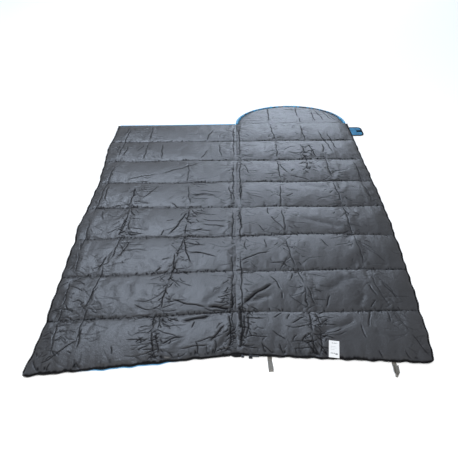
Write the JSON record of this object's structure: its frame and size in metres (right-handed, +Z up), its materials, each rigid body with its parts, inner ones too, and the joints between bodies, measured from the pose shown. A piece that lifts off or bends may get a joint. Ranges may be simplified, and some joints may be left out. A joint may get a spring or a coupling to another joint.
{
  "type": "rectangular sleeping bag",
  "caption": "Hooded rectangular sleeping bag, unzipped and laid open as a quilt; the left half folds over the right and the hood lifts.",
  "frame": {"origin": "on the floor, under the fold seam, half-way between the foot corners and the head edge", "axes": "+X from the fold seam to the right-hand zip, +Y towards the head, +Z up"},
  "size_m": [1.5799, 2.2333, 0.018],
  "materials": {
    "shell_fabric": "woven polyester, blue, slight sheen",
    "lining_fabric": "woven polyester, dark grey, slight sheen",
    "filling": "hollow-fibre wadding",
    "quilting_thread": "polyester thread",
    "seam_tape": "woven tape",
    "zip_tape": "woven polyester tape",
    "zip_coil": "nylon coil",
    "zip_metal": "dark painted zinc",
    "black_binding": "woven tape",
    "hook_and_loop": "nylon hooks and loops",
    "ribbon": "light grey ribbon",
    "label": "white satin",
    "cord": "braided cord"
  },
  "bodies": {
    "right_half": {"right_shell": "shell_fabric", "right_filling": "filling", "right_lining": "lining_fabric", "right_quilt_stitching": "quilting_thread", "fold_seam_tape": "seam_tape", "hood_seam_tape": "seam_tape", "right_zip_tape": "zip_tape", "right_zip_coil": "zip_coil", "right_zip_stop": "zip_metal", "zip_retainer_box": "zip_coil", "tab_anchor": "shell_fabric", "loop_anchors": "ribbon"},
    "left_half": {"left_shell": "shell_fabric", "left_filling": "filling", "left_lining": "lining_fabric", "left_quilt_stitching": "quilting_thread", "left_head_binding": "shell_fabric", "left_zip_tape": "zip_tape", "left_zip_coil": "zip_coil", "left_zip_stop": "zip_metal", "zip_insertion_pin": "zip_coil", "left_loop_patch": "hook_and_loop"},
    "hood": {"hood_shell": "shell_fabric", "hood_filling": "filling", "hood_lining": "lining_fabric", "hood_rim_sleeve": "shell_fabric", "hood_drawcord": "cord"},
    "tab_root_body": {"tab_root": "shell_fabric", "tab_root_binding": "black_binding"},
    "tab_tip_body": {"tab_tip": "shell_fabric", "tab_tip_binding": "black_binding", "tab_hook_patch": "hook_and_loop"},
    "inner_loop": {"hang_loop_inner": "ribbon"},
    "outer_loop": {"hang_loop_outer": "ribbon"},
    "label": {"care_label": "label"},
    "slider": {"zip_slider": "zip_metal"},
    "pull": {"zip_pull": "zip_metal"}
  },
  "joints": [
    {"name": "half_fold", "type": "hinge", "parent": "right_half", "child": "left_half", "pos_m": [0, 0, 0.0185], "axis": [0, 1, 0], "range_deg": [0, 180]},
    {"name": "hood_lift", "type": "hinge", "parent": "right_half", "child": "hood", "pos_m": [0.369, 0.95, 0.0185], "axis": [1, 0, 0], "range_deg": [0, 90]},
    {"name": "tab_raise", "type": "hinge", "parent": "right_half", "child": "tab_root_body", "pos_m": [0.753, 0.845, 0.0048], "axis": [0, -1, 0], "range_deg": [0, 90]},
    {"name": "tab_turn", "type": "hinge", "parent": "tab_root_body", "child": "tab_tip_body", "pos_m": [0.7859, 0.845, 0.0048], "axis": [0, -1, 0], "range_deg": [0, 90]},
    {"name": "inner_loop_swing", "type": "hinge", "parent": "right_half", "child": "inner_loop", "pos_m": [0.13966, -0.92659, 0.0019], "axis": [-0.9984, 0.0568, 0], "range_deg": [0, 90]},
    {"name": "outer_loop_swing", "type": "hinge", "parent": "right_half", "child": "outer_loop", "pos_m": [0.59566, -0.95254, 0.0019], "axis": [-0.9984, 0.0568, 0], "range_deg": [0, 90]},
    {"name": "label_flip", "type": "hinge", "parent": "right_half", "child": "label", "pos_m": [0.369, -0.916, 0.0093], "axis": [0.9984, -0.0568, 0], "range_deg": [0, 150]},
    {"name": "slider_run", "type": "slide", "parent": "right_half", "child": "slider", "axis": [0.9984, -0.0568, 0], "range_m": [0, 0.6]},
    {"name": "pull_flip", "type": "hinge", "parent": "slider", "child": "pull", "pos_m": [0.04716, -0.91251, 0.0104], "axis": [-0.0568, -0.9984, 0], "range_deg": [0, 180]}
  ]
}
